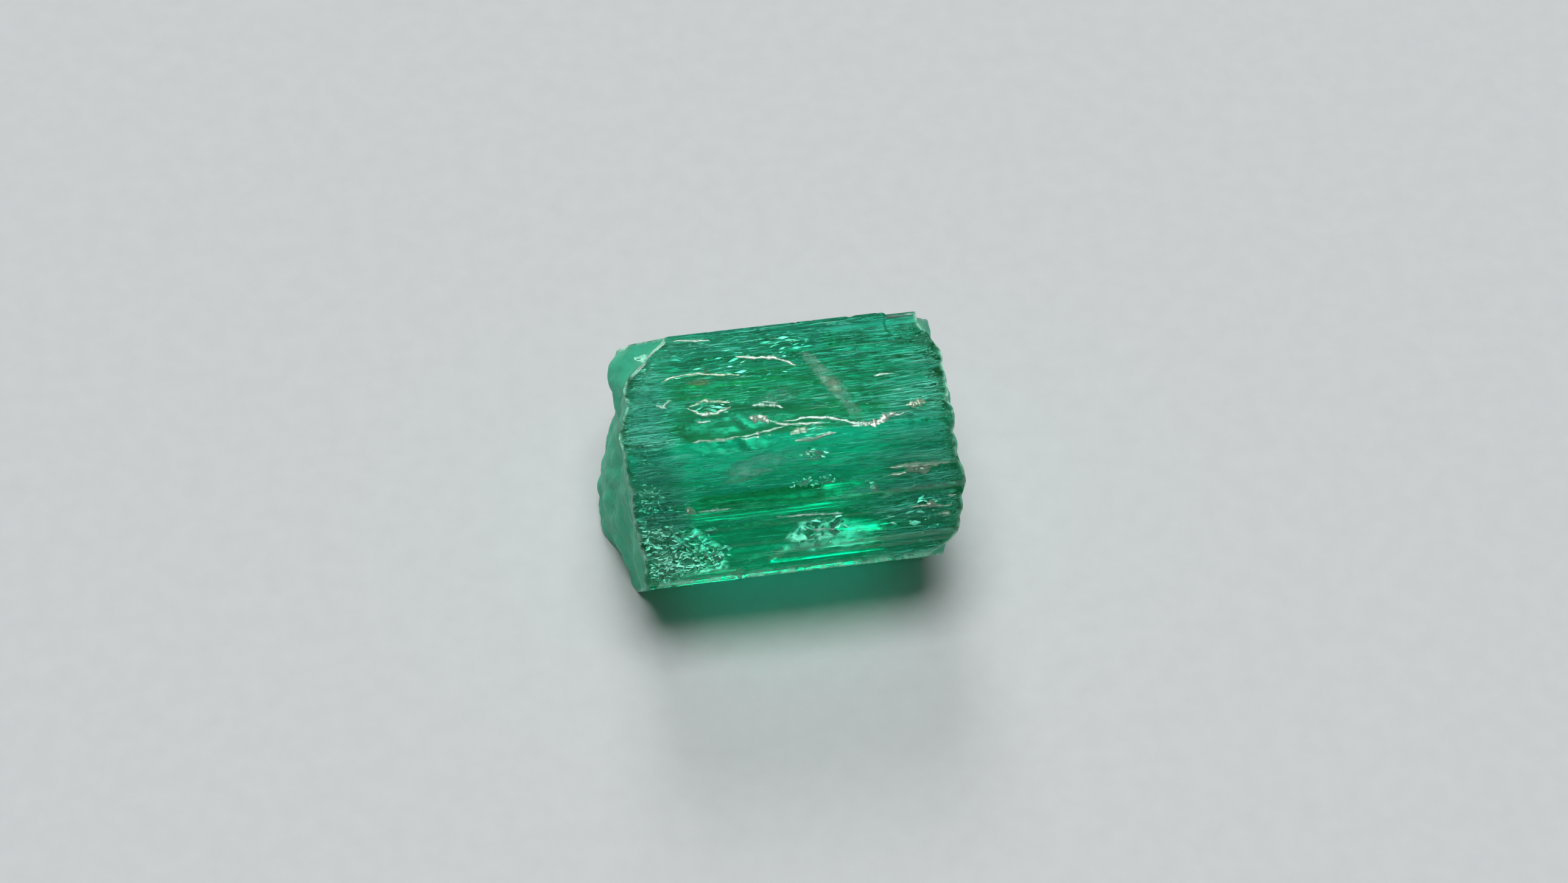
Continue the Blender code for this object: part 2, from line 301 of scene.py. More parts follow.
# The skin: a loop round the prism carried along x, then rings that shrink to the middle of each end.
# A side point is base(u) + inwards(u) * relief(u, x); an end point is (endSurface(y, z), y, z).
def crystalSkin():
    faces = prismFaces()
    bases, normals, acrosses, names = [], [], [], []
    order = list(faces)
    for number, name in enumerate(order):
        start, across, inwards, width = faces[name]
        count = round(width / prism["aroundStep"])
        along = np.arange(count) / count * width
        before = faces[order[number - 1]][2]
        after = faces[order[(number + 1) % len(order)]][2]
        nearStart = 0.5 * np.clip(1 - along / prism["cornerRound"], 0, 1)
        nearEnd = 0.5 * np.clip(1 - (width - along) / prism["cornerRound"], 0, 1)
        normal = inwards * (1 - nearStart - nearEnd)[:, None]
        normal = normal + before * nearStart[:, None] + after * nearEnd[:, None]
        normal /= np.linalg.norm(normal, axis=1)[:, None]
        bases.append(start + across * along[:, None])
        normals.append(normal)
        acrosses.append(along)
        names += [(name, width, count)]
    base = np.concatenate(bases)
    normal = np.concatenate(normals)
    leftX = endSurface(base[:, 0], base[:, 1], -1)
    rightX = endSurface(base[:, 0], base[:, 1], 1)
    nearRim = np.array(prism["rimStations"]) * mm
    fromStart, fromStop = prism["between"]
    middle = np.arange(fromStart, prism["length"] - fromStop, prism["alongStep"])
    stations = np.concatenate([nearRim, middle, prism["length"] - nearRim[::-1]]) / prism["length"]
    x = leftX + (rightX - leftX) * stations[:, None]
    relief = np.zeros(x.shape)
    first = 0
    for number, (name, width, count) in enumerate(names):
        part = slice(first, first + count)
        across = np.broadcast_to(acrosses[number], x[:, part].shape)
        seed = prism["seed"] * 10 + number
        faceDepth = faceRelief(name, width, across, x[:, part], leftX[part], rightX[part], seed)
        toCorner = np.minimum(across, width - across)
        nicked = waves(x[:, part], 0 * across, prism["nickSize"], prism["nickSeed"] + number)
        nicked = np.clip(nicked - prism["nickFrom"], 0, 1) * prism["cornerNick"] + prism["cornerCut"]
        nearCorner = np.clip(1 - toCorner / prism["cornerRound"], 0, 1) ** prism["cornerCurve"]
        relief[:, part] = faceDepth + nicked * nearCorner
        first += count
    around = np.arange(base.shape[0]) * prism["aroundStep"]
    low, high = prism["rimWear"]
    for side, ends in ((-1, x - leftX), (1, rightX - x)):
        worn = np.clip(waves(around, 0 * around, prism["wearSize"], prism["wearSeed"] + side), 0, 1)
        wear = low + (high - low) * worn ** 1.5
        relief = relief + wear * np.clip(1 - ends / prism["rimWidth"], 0, 1) ** prism["rimCurve"]
    side = base[None] + normal[None] * relief[..., None]
    rings = round(prism["endReach"] / prism["ringStep"])
    shrink = 1 - np.arange(1, rings) / rings
    heart = base.mean(axis=0)
    rows = []
    for number, rim in ((-1, side[0]), (1, side[-1])):
        ring = heart + (rim - heart) * shrink[:, None, None]
        ringX = endSurface(ring[..., 0], ring[..., 1], number)
        rows.append(np.concatenate([ringX[..., None], ring], axis=-1))
    sides = np.concatenate([x[..., None], side], axis=-1)
    sides[0, :, 0] = endSurface(side[0, :, 0], side[0, :, 1], -1)
    sides[-1, :, 0] = endSurface(side[-1, :, 0], side[-1, :, 1], 1)
    grid = np.concatenate([rows[0][::-1], sides, rows[1]])
    count, cols = grid.shape[:2]
    poles = np.array([[endSurface(heart[0], heart[1], end), *heart] for end in (-1, 1)])
    points = np.concatenate([grid.reshape(-1, 3), poles])
    # 1 on the broken ends, falling to 0 on the prism faces
    broken = np.concatenate([np.ones(rings - 1), np.zeros(len(stations)), np.ones(rings - 1)])
    broken = np.concatenate([np.repeat(broken, cols), [1, 1]])
    # frost: 1 on the rims, fading over the left end of the prism faces
    fromRim = np.minimum(x - leftX, rightX - x)
    rimFrost = np.clip(1 - fromRim / prism["rimFrost"], 0, 1)
    for (reach, cover), fromEnd in zip(prism["endFrost"], (x - leftX, rightX - x)):
        rimFrost = np.maximum(rimFrost, cover * np.exp(-(fromEnd / reach) ** 2))
    # and along the lower front edge
    reach, cover = prism["edgeFrost"]
    fromEdge = np.concatenate([along if name == "frontUpper" else np.full(count, np.inf)
                               for along, (name, _, count) in zip(acrosses, names)])
    rimFrost = np.maximum(rimFrost, cover * np.clip(1.5 - fromEdge / reach, 0, 1))
    frost = np.concatenate([np.zeros((rings - 1, cols)), rimFrost, np.zeros((rings - 1, cols))]).ravel()
    frost = np.concatenate([frost, [0, 0]])
    # the box is set where the solid's is
    shift = (np.array(crystalLow) + np.array(crystalHigh)) / 2 - (points.min(axis=0) + points.max(axis=0)) / 2
    shift[2] = crystalLow[2] - points[:, 2].min()
    print("skin shift, mm:", np.round(shift / mm, 3), "grid", grid.shape)
    return points + shift, closedFaces(count, cols), {"broken": broken, "frost": frost}, shift


# A node's output that Python's operators work on: each one adds a Math node
class Wire:
    def __init__(self, tree, socket):
        self.tree = tree
        self.socket = socket

    def mathNode(self, operation, *values):
        return self.tree.add("ShaderNodeMath", {"operation": operation}, dict(enumerate(values)))

    def __add__(self, other):
        return self.mathNode("ADD", self, other)

    def __radd__(self, other):
        return self.mathNode("ADD", other, self)

    def __sub__(self, other):
        return self.mathNode("SUBTRACT", self, other)

    def __rsub__(self, other):
        return self.mathNode("SUBTRACT", other, self)

    def __mul__(self, other):
        return self.mathNode("MULTIPLY", self, other)

    def __rmul__(self, other):
        return self.mathNode("MULTIPLY", other, self)

    def __truediv__(self, other):
        return self.mathNode("DIVIDE", self, other)

    def __pow__(self, other):
        return self.mathNode("POWER", self, other)


# A material's node tree: add() takes a node's type, its settings, and its sockets' values or links
class Tree:
    def __init__(self, name, given=None):
        if given is None:
            self.material = bpy.data.materials.new(name)
            self.material.use_nodes = True
            given = self.material.node_tree
        self.nodes = given.nodes
        self.links = given.links
        self.nodes.clear()

    def add(self, kind, settings=None, sockets=None, output=0):
        node = self.nodes.new(kind)
        for key, value in (settings or {}).items():
            if key == "stops":
                self.setStops(node.color_ramp, value)
            else:
                setattr(node, key, value)
        for key, value in (sockets or {}).items():
            if isinstance(value, Wire):
                self.links.new(value.socket, node.inputs[key])
            elif value is not None:
                node.inputs[key].default_value = value
        return Wire(self, node.outputs[output])

    def setStops(self, ramp, stops):
        while len(ramp.elements) < len(stops):
            ramp.elements.new(0.5)
        for element, (place, colour) in zip(ramp.elements, stops):
            element.position = place
            element.color = colour

    # 0 below low, 1 above high, straight between
    def span(self, wire, low, high):
        return self.add("ShaderNodeMapRange", sockets={"Value": wire, "From Min": low, "From Max": high})

    # A named value that the mesh holds at each point
    def mark(self, name):
        return self.add("ShaderNodeAttribute", {"attribute_name": name}, output="Fac")

    def mix(self, share, first, second):
        return self.add("ShaderNodeMix", {"data_type": "RGBA"}, {0: share, 6: first, 7: second}, output=2)

    def noise(self, scale, detail=3.0, stretch=(1, 1, 1), roughness=0.55):
        place = self.add("ShaderNodeTexCoord", output="Object")
        if tuple(stretch) != (1, 1, 1):
            place = self.add("ShaderNodeMapping", sockets={"Vector": place, "Scale": stretch})
        return self.add("ShaderNodeTexNoise", sockets={
            "Vector": place, "Scale": scale, "Detail": detail, "Roughness": roughness,
        })

    def finish(self, surface, volume=None):
        out = self.nodes.new("ShaderNodeOutputMaterial")
        self.links.new(surface.socket, out.inputs["Surface"])
        if volume is not None:
            self.links.new(volume.socket, out.inputs["Volume"])
        return self.material


beryl = {
    "ior": 1.575,
    "absorbColour": (0.03, 0.974, 0.87, 1),
    "absorbDensity": 460.0,
    "skinColour": (0.95, 1.0, 0.975, 1),
    "faceRoughness": 0.06,
    "endRoughness": 0.22,
    "scuffColour": (0.09, 0.66, 0.40, 1),
    "rimColour": (0.42, 0.86, 0.66, 1),
    "lineCover": 0.14,
    "endCover": 0.75,
    "scuffRoughness": 0.6,
    "scuffGloss": 0.05,
    "bumpStrength": 0.3,
    "bumpDistance": 0.00001,
    # noise scales per metre, drawn out along x by the last number
    "fineStriae": (7500.0, 2.0, (0.03, 1, 1)),
    "coarseStriae": (1900.0, 3.0, (0.04, 1, 1)),
    "grain": (5200.0, 2.0),
    "scuffLines": (4600.0, 2.0, (0.022, 1, 1)),
    "scuffPlaces": (420.0, 2.0, (0.5, 1, 1)),
    "endPatches": (1500.0, 4.0),
    "rimPatches": (2600.0, 3.0),
}


# Clear green beryl: lengthwise striae in the bump; pale scuffs on rims, ends and along fine lines
def makeBeryl():
    tree = Tree("beryl")
    broken, frost = tree.mark("broken"), tree.mark("frost")
    fine = tree.noise(*beryl["fineStriae"])
    coarse = tree.noise(*beryl["coarseStriae"])
    grain = tree.noise(*beryl["grain"])
    height = (fine * 0.5 + coarse) * (1 - broken) + grain * (broken * 0.7 + 0.1)
    bump = tree.add("ShaderNodeBump", sockets={
        "Strength": beryl["bumpStrength"],
        "Distance": beryl["bumpDistance"],
        "Height": height,
    })
    rougher = beryl["endRoughness"] - beryl["faceRoughness"]
    roughness = beryl["faceRoughness"] + broken * rougher + coarse * 0.04
    glass = tree.add("ShaderNodeBsdfPrincipled", sockets={
        "Base Color": beryl["skinColour"],
        "Roughness": roughness,
        "Transmission Weight": 1.0,
        "IOR": beryl["ior"],
        "Normal": bump,
    })
    pale = tree.add("ShaderNodeBsdfPrincipled", sockets={
        "Base Color": tree.mix(frost, beryl["scuffColour"], beryl["rimColour"]),
        "Roughness": beryl["scuffRoughness"],
        "Specular IOR Level": beryl["scuffGloss"],
        "Normal": bump,
    })
    lines = tree.span(tree.noise(*beryl["scuffLines"]), 0.58, 0.74)
    where = tree.span(tree.noise(*beryl["scuffPlaces"]), 0.42, 0.62)
    patches = tree.span(tree.noise(*beryl["endPatches"]), 0.22, 0.55)
    broke = tree.span(tree.noise(*beryl["rimPatches"]), 0.36, 0.60)
    scuff = frost * broke + broken * (patches * 0.4 + 0.6) * beryl["endCover"]
    scuff = scuff + lines * where * beryl["lineCover"]
    surface = tree.add("ShaderNodeMixShader", sockets={0: scuff, 1: glass, 2: pale})
    volume = tree.add("ShaderNodeVolumeAbsorption", sockets={
        "Color": beryl["absorbColour"],
        "Density": beryl["absorbDensity"],
    })
    return tree.finish(surface, volume)


points, faces, skinMarks, crystalShift = crystalSkin()
skin = makePiece("crystalSkin", points, faces, makeBeryl(), sharpDegrees=24)
for key, values in skinMarks.items():
    skin.data.attributes.new(key, "FLOAT", "POINT").data.foreach_set("value", values)
print("crystal skin:", len(skin.data.polygons), "faces")
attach(skin, "root")
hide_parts("emerald_crystal")


# What the crystal holds, called its jardin. Places are on a prism face, in millimetres: x along the
# crystal, across the face from its lower front corner, and depth below it.
# Cloudy (above 0) and clear (below 0) places as seen through a face:
# (face, x, across, reach x, reach across, amount)
clouds = (
    ("frontUpper", -6.6, 3.6, 1.5, 4.6, 0.90),
    ("top", -6.8, 2.6, 1.2, 3.6, 0.50),
    ("frontUpper", -5.8, 1.3, 2.3, 1.6, -1.20),
    ("frontUpper", 5.8, 3.6, 2.6, 4.4, 0.55),
    ("top", 6.4, 2.8, 2.2, 3.6, 0.10),
    ("frontUpper", -1.6, 5.6, 3.4, 1.1, 0.18),
    ("frontUpper", 0.9, 1.7, 2.7, 1.1, -0.75),
    ("frontUpper", 3.0, 3.6, 1.4, 0.5, 0.30),
    ("frontUpper", -1.2, 4.1, 4.4, 0.5, -0.20),
    ("top", -2.6, 0.8, 3.0, 0.8, -0.60),
)
jardin = {
    "seed": 23,
    "tries": 1100000,
    "margin": 0.06 * mm,
    "haze": 0.06,
    "streakDrift": (0.12, 0.05),
    "streakShare": (0.55, 0.9),
    "streakLimits": (0.05, 1.6),
    "stretches": (-5.6 * mm, -0.5 * mm, 4.6 * mm),
    "streak": 0.9 * mm,
    "fleckLength": (0.10 * mm, 1.7 * mm),
    "fleckWidth": (0.012 * mm, 0.044 * mm),
    "nearSkin": 2.0 * mm,
    "deepShare": 0.12,
    "tilt": {"top": 0.12, "frontUpper": 0.56},
    "tiltSpread": 0.20,
    "dip": 0.07,
    "thickness": 0.02,
    "longFew": 4,
    "fleckFinish": ((0.21, 0.84, 0.64, 1), (0.03, 0.56, 0.40, 1), 0.42, 0.62),
    "tubes": 3200,
    "tubeLength": (0.25 * mm, 3.6 * mm),
    "tubeWidth": (0.006 * mm, 0.026 * mm),
    "tubesFew": 3,
    "tubeLean": 0.004,
    "tubeRoll": 0.9,
    "tubeFinish": ((0.90, 1, 0.94, 1), (0.10, 0.50, 0.32, 1), 0.35, 0.4),
    "lean": 0.05,
    # unit directions from the viewer's side into the crystal, bent by each face
    "through": {"top": (0.048, 0.342, -0.938), "frontUpper": (0.048, 0.685, -0.728)},
}


# Points at (x, across, depth) on a prism face
def onFace(face, x, across, depth):
    start, over, inwards, _ = prismFaces()[face]
    y = start[0] + over[0] * across + inwards[0] * depth
    z = start[1] + over[1] * across + inwards[1] * depth
    return np.stack(np.broadcast_arrays(x, y, z), axis=-1)


# How far points lie below each prism face, by its name
def depthsBelow(points):
    y, z = points[:, 1], points[:, 2]
    return {name: (y - start[0]) * inwards[0] + (z - start[1]) * inwards[1]
            for name, (start, _, inwards, _) in prismFaces().items()}


# Where the line from each point back to the viewer leaves a face: (x, across)
def seenAt(points, face):
    start, over, inwards, _ = prismFaces()[face]
    way = np.array(jardin["through"][face])
    depth = depthsBelow(points)[face]
    out = points - way * (depth / (way[1] * inwards[0] + way[2] * inwards[1]))[:, None]
    return out[:, 0], (out[:, 1] - start[0]) * over[0] + (out[:, 2] - start[1]) * over[1]


# Points inside the crystal, margin away from its faces, broken ends, worn rims and missing layers
def inside(points, margin):
    depths = depthsBelow(points)
    y, z = points[:, 1], points[:, 2]
    left = points[:, 0] - endSurface(y, z, -1)
    right = endSurface(y, z, 1) - points[:, 0]
    toEnd = np.minimum(left, right)
    worn = prism["rimWear"][1] * np.clip(1 - toEnd / prism["rimWidth"], 0, 1)
    kept = (np.min(list(depths.values()), axis=0) > margin + worn) & (toEnd > margin)
    for face, low, high, end, length, deep in layers:
        start, over, _, width = prismFaces()[face]
        share = ((y - start[0]) * over[0] + (z - start[1]) * over[1]) / width
        gone = (share > low - 0.02) & (share < high + 0.02) & (depths[face] < deep + margin)
        kept &= ~(gone & ((right if end > 0 else left) < length))
    return kept


# How cloudy each place is: haze in streaks, plus each cloud's amount * exp(-(distance / reach)^4),
# less with depth
def cloudiness(points):
    x, y, z = points.T
    driftY, driftZ = jardin["streakDrift"]
    streaks = waves(y + driftY * x, z - driftZ * x, jardin["streak"], jardin["seed"])
    amount = np.full(x.shape, jardin["haze"])
    for face, x0, across0, reachX, reachAcross, height in clouds:
        alongX, across = seenAt(points, face)
        away = ((alongX / mm - x0) / reachX) ** 2 + ((across / mm - across0) / reachAcross) ** 2
        amount = amount + height * np.exp(-away**2)
    depth = np.min(list(depthsBelow(points).values()), axis=0)
    near = jardin["deepShare"] + (1 - jardin["deepShare"]) * np.exp(-(depth / jardin["nearSkin"]) ** 2)
    base, swing = jardin["streakShare"]
    return np.clip(amount, 0, 1) * np.clip(base + swing * streaks, *jardin["streakLimits"]) * near


# Flat four-sided flecks: ends at +-length/2 on the axis lie a little above the waist points at +-width/2.
# Each lies in a plane that its tilt turns about x, and its heading turns its axis in that plane.
def flakes(centres, lengths, widths, heading, tilt, seed):
    draw = drawer(seed)
    count = len(centres)
    heading = draw.normal(0, heading, count)
    turn = tilt + draw.normal(0, jardin["tiltSpread"], count)
    flat = np.stack([np.ones(count), np.zeros(count), draw.normal(0, jardin["dip"], count)], axis=-1)
    rising = np.stack([np.zeros(count), np.cos(turn), np.sin(turn)], axis=-1)
    axis = flat * np.cos(heading)[:, None] + rising * np.sin(heading)[:, None]
    broad = rising * np.cos(heading)[:, None] - flat * np.sin(heading)[:, None]
    lift = np.cross(axis, broad) * widths[:, None] * jardin["thickness"]
    ends, waist = axis * lengths[:, None] / 2, broad * widths[:, None] / 2
    points = centres[:, None] + np.stack([ends + lift, lift - ends, waist - lift, -waist - lift], axis=1)
    pattern = np.array([(0, 2, 1), (0, 1, 3), (0, 3, 2), (1, 2, 3)])
    faces = pattern[None] + 4 * np.arange(count)[:, None, None]
    return points.reshape(-1, 3), faces.reshape(-1, 3)


# Flat six-pointed splinters, eight faces each: ends at +-length/2 on the axis, waist at +-width/2 and
# +-width/6. The axis leans off x, and the broad side off level, by normally spread angles.
def splinters(centres, lengths, widths, lean, roll, seed):
    draw = drawer(seed)
    count = len(centres)
    axis = np.stack([np.ones(count), *draw.normal(0, lean, (2, count))], axis=-1)
    turn = draw.normal(0, roll, count)
    broad = np.stack([np.zeros(count), np.cos(turn), np.sin(turn)], axis=-1)
    narrow = np.stack([np.zeros(count), -np.sin(turn), np.cos(turn)], axis=-1)
    ends = axis * lengths[:, None] / 2
    waist, thin = broad * widths[:, None] / 2, narrow * widths[:, None] / 6
    points = centres[:, None] + np.stack([ends, -ends, waist, thin, -waist, -thin], axis=1)
    pattern = np.array([
        (0, 2, 3), (0, 3, 4), (0, 4, 5), (0, 5, 2),
        (1, 3, 2), (1, 4, 3), (1, 5, 4), (1, 2, 5),
    ])
    faces = pattern[None] + 6 * np.arange(count)[:, None, None]
    return points.reshape(-1, 3), faces.reshape(-1, 3)


# Milky green of the crystal's flecks and tubes
def makeMilky(name, pale, deep, roughness, silver):
    tree = Tree(name)
    tone = tree.span(tree.noise(1300.0, 2.0, (0.15, 1, 1)), 0.35, 0.65)
    return tree.finish(tree.add("ShaderNodeBsdfPrincipled", sockets={
        "Base Color": tree.mix(tone, pale, deep), "Roughness": roughness, "Metallic": silver,
    }))


# Flecks: spots drawn evenly in the box and kept where it is cloudy, as one piece for each stretch of x
def makeFlecks():
    draw = drawer(jardin["seed"])
    low, high = np.array(crystalLow) - crystalShift, np.array(crystalHigh) - crystalShift
    spots = draw.uniform(low, high, (jardin["tries"], 3))
    spots = spots[draw.uniform(0, 1, len(spots)) < cloudiness(spots)]
    short, long = jardin["fleckLength"]
    lengths = short + (long - short) * draw.uniform(0, 1, len(spots)) ** jardin["longFew"]
    ends = lengths[:, None] * np.array([0.5, 0, 0])
    kept = inside(spots - ends, jardin["margin"]) & inside(spots + ends, jardin["margin"])
    spots, lengths = spots[kept], lengths[kept]
    widths = draw.uniform(*jardin["fleckWidth"], len(spots))
    finish = makeMilky("milkyFlecks", *jardin["fleckFinish"])
    made = []
    stretch = np.digitize(spots[:, 0], jardin["stretches"])
    for number in range(len(jardin["stretches"]) + 1):
        part = stretch == number
        throughTop = seenAt(spots[part], "top")[1] > 0
        tilt = np.where(throughTop, jardin["tilt"]["top"], jardin["tilt"]["frontUpper"])
        points, faces = flakes(spots[part], lengths[part], widths[part], jardin["lean"], tilt,
                               jardin["seed"] + 1 + number)
        made.append(makePiece(f"flecks{number + 1}", points + crystalShift, faces, finish))
    print("flecks:", len(spots))
    return made


# Clusters of bright plates just under a face, in millimetres:
# (face, x, across, reach x, reach across, count, longest)
glintClusters = (
    ("frontUpper", -6.4, 3.7, 0.6, 1.0, 320, 0.34),
    ("frontUpper", -6.7, 2.2, 0.6, 1.1, 300, 0.50),
    ("frontUpper", -5.6, 1.4, 1.1, 0.8, 260, 0.55),
    ("frontUpper", -6.6, 0.7, 1.0, 0.5, 260, 0.60),
    ("frontUpper", -4.2, 1.2, 0.7, 0.5, 70, 0.40),
    ("frontUpper", 0.8, 2.0, 1.3, 0.5, 36, 0.60),
    ("frontUpper", 0.5, 4.4, 0.7, 0.18, 40, 0.28),
    ("frontUpper", 1.6, 4.4, 0.5, 0.15, 24, 0.26),
    ("frontUpper", 3.4, 3.9, 0.22, 0.2, 18, 0.30),
    ("frontUpper", 0.8, 5.9, 0.35, 0.2, 26, 0.30),
    ("frontUpper", -6.8, 5.2, 0.35, 1.2, 90, 0.26),
    ("top", 1.0, 0.4, 0.9, 0.22, 46, 0.60),
    ("top", -3.5, 2.0, 0.7, 0.3, 40, 0.60),
    ("top", -5.5, 2.3, 0.3, 0.3, 26, 0.34),
    ("top", -6.3, 4.6, 0.35, 0.5, 50, 0.40),
    ("top", -2.6, 4.2, 2.2, 0.9, 44, 0.70),
    ("top", 0.4, 5.0, 1.2, 0.4, 26, 0.70),
    ("frontUpper", 5.6, 2.4, 1.0, 1.2, 50, 0.60),
)
glints = {
    "spread": 1.6,              # reaches per standard deviation
    "depth": (0.12, 0.7),
    "shortest": 0.10,
    "width": {"frontUpper": (0.25, 0.7), "top": (0.10, 0.28)},
    "heading": {"frontUpper": 0.7, "top": 0.22},
    "pale": (0.45, 1.0, 0.78, 1),
    "deep": (0.06, 0.72, 0.46, 1),
    "roughness": 0.32,
    "silver": 0.85,
}


# Glints: plates spread normally about each cluster's place on its face
def makeGlints():
    draw = drawer(jardin["seed"] + 9)
    finish = makeMilky("glints", glints["pale"], glints["deep"], glints["roughness"], glints["silver"])
    made = []
    for wanted in ("frontUpper", "top"):
        spots, lengths = [], []
        for face, x, across, reachX, reachAcross, count, longest in glintClusters:
            if face == wanted:
                x = draw.normal(x, reachX / glints["spread"], count) * mm
                across = draw.normal(across, reachAcross / glints["spread"], count) * mm
                spots.append(onFace(face, x, across, draw.uniform(*glints["depth"], count) * mm))
                lengths.append(draw.uniform(glints["shortest"], longest, count) * mm)
        spots, lengths = np.concatenate(spots), np.concatenate(lengths)
        kept = inside(spots, jardin["margin"] + lengths / 2)
        spots, lengths = spots[kept], lengths[kept]
        widths = lengths * draw.uniform(*glints["width"][wanted], len(spots))
        points, faces = flakes(spots, lengths, widths, glints["heading"][wanted], jardin["tilt"][wanted],
                               jardin["seed"] + 10 + len(made))
        print("glints,", wanted, ":", len(spots))
        made.append(makePiece(f"{wanted}Glints", points + crystalShift, faces, finish))
    return made


# Growth tubes: long thin splinters along x, the first that lie wholly inside
def makeTubes():
    draw = drawer(jardin["seed"] + 5)
    count = jardin["tubes"]
    low, high = np.array(crystalLow) - crystalShift, np.array(crystalHigh) - crystalShift
    spots = draw.uniform(low, high, (count * 3, 3))
    short, long = jardin["tubeLength"]
    lengths = short + (long - short) * draw.uniform(0, 1, len(spots)) ** jardin["tubesFew"]
    ends = lengths[:, None] * np.array([0.5, 0, 0])
    kept = np.all([inside(spots + step * ends, jardin["margin"]) for step in (-1, 0, 1)], axis=0)
    spots, lengths = spots[kept][:count], lengths[kept][:count]
    widths = draw.uniform(*jardin["tubeWidth"], len(spots))
    lean, roll = jardin["tubeLean"], jardin["tubeRoll"]
    points, faces = splinters(spots, lengths, widths, lean, roll, jardin["seed"] + 6)
    print("growth tubes:", len(spots))
    finish = makeMilky("milkyTubes", *jardin["tubeFinish"])
    return makePiece("growthTubes", points + crystalShift, faces, finish)


# Veils: films of tiny bubbles, and two bright green mirroring sheets that stand in for a glow of light,
# places in millimetres on the face:
# (face, depth, bulge, (relief, its size), milk, tint, shine, outline)
filmsAndGlowSheets = (
    ("frontUpper", 0.5, 0.20, (0.10, 1.4), 0.85, 0.30, 0.2, (
        (-3.4, 5.5), (-2.7, 5.9), (-1.3, 6.2), (0.0, 6.1), (0.2, 5.8), (-1.0, 5.2), (-2.6, 4.8),
        (-3.5, 4.9))),
    ("top", 0.7, 0.20, (0.10, 1.4), 0.60, 0.33, 0.0, (
        (-1.9, 2.0), (-1.2, 2.4), (-0.5, 2.7), (0.1, 2.8), (0.6, 2.5), (0.5, 2.0), (-1.2, 1.9))),
    ("top", 0.4, 0.10, (0.10, 1.4), 0.60, 0.35, 0.25, (
        (0.8, 4.7), (1.4, 4.3), (2.6, 2.7), (3.4, 0.5), (3.0, 0.1), (1.9, 2.0), (1.0, 3.7))),
    ("top", 0.2, 0.10, (0.10, 1.4), 0.95, 0.48, 0.3, (
        (1.7, 2.6), (2.1, 2.8), (2.5, 2.6), (2.5, 2.0), (2.1, 1.9), (1.8, 2.1))),
    ("top", 0.2, 0.10, (0.10, 1.4), 0.85, 1.00, 0.0, (
        (-3.7, 3.8), (-3.5, 4.1), (-3.2, 3.8), (-3.4, 3.6))),
    ("top", 0.3, 0.10, (0.10, 1.4), 0.60, 0.80, 0.0, (
        (-4.6, 3.5), (-3.7, 3.6), (-2.9, 3.4), (-3.6, 3.2), (-4.4, 3.2))),
    ("top", 2.2, 0.03, (0.05, 1.4), 1.30, 0.13, 0.5, (
        (-5.3, 2.2), (-4.2, 2.4), (-0.6, 2.2), (0.6, 1.8), (0.2, 1.2), (-3.4, 1.0), (-4.8, 1.3))),
    # Painted glow: these two are no bubble films but bright green mirroring sheets, put where the lamp's
    # light, reflected inside the crystal, makes the lower front face glow
    ("frontUpper", 1.2, 0.02, (0.03, 1.4), 1.60, 0.15, 0.6, (
        (-1.4, 1.0), (-0.6, 1.7), (0.4, 2.3), (2.2, 2.1), (3.4, 1.5), (3.6, 0.9), (2.4, 0.4), (0.4, 0.5))),
    ("frontUpper", 0.7, 0.02, (0.02, 0.8), 1.20, 0.19, 0.7, (
        (-0.9, 1.6), (-0.3, 2.3), (0.9, 2.5), (1.8, 2.1), (1.9, 1.5), (0.9, 1.1), (-0.4, 1.2))),
    ("frontUpper", 1.4, 0.02, (0.02, 0.6), 0.80, 0.15, 0.7, (
        (-7.0, 2.8), (-7.0, 6.4), (-6.2, 6.6), (-5.6, 5.4), (-5.4, 4.0), (-5.8, 3.0))),
    ("frontUpper", 1.4, 0.02, (0.02, 0.9), 0.55, 0.15, 0.7, (
        (3.8, 2.6), (3.6, 4.0), (4.4, 5.8), (6.0, 6.4), (6.8, 5.6), (7.0, 3.6), (6.4, 1.8), (4.8, 1.6))),
    ("frontUpper", 1.3, 0.02, (0.013, 0.4), 1.80, 0.17, 0.8, (
        (-7.0, 0.2), (-7.1, 1.5), (-7.0, 3.0), (-6.9, 4.3), (-6.4, 4.2), (-5.9, 3.5), (-5.2, 2.9),
        (-4.4, 2.2), (-3.6, 1.5), (-3.4, 0.8), (-3.6, 0.2), (-5.2, 0.2))),
)

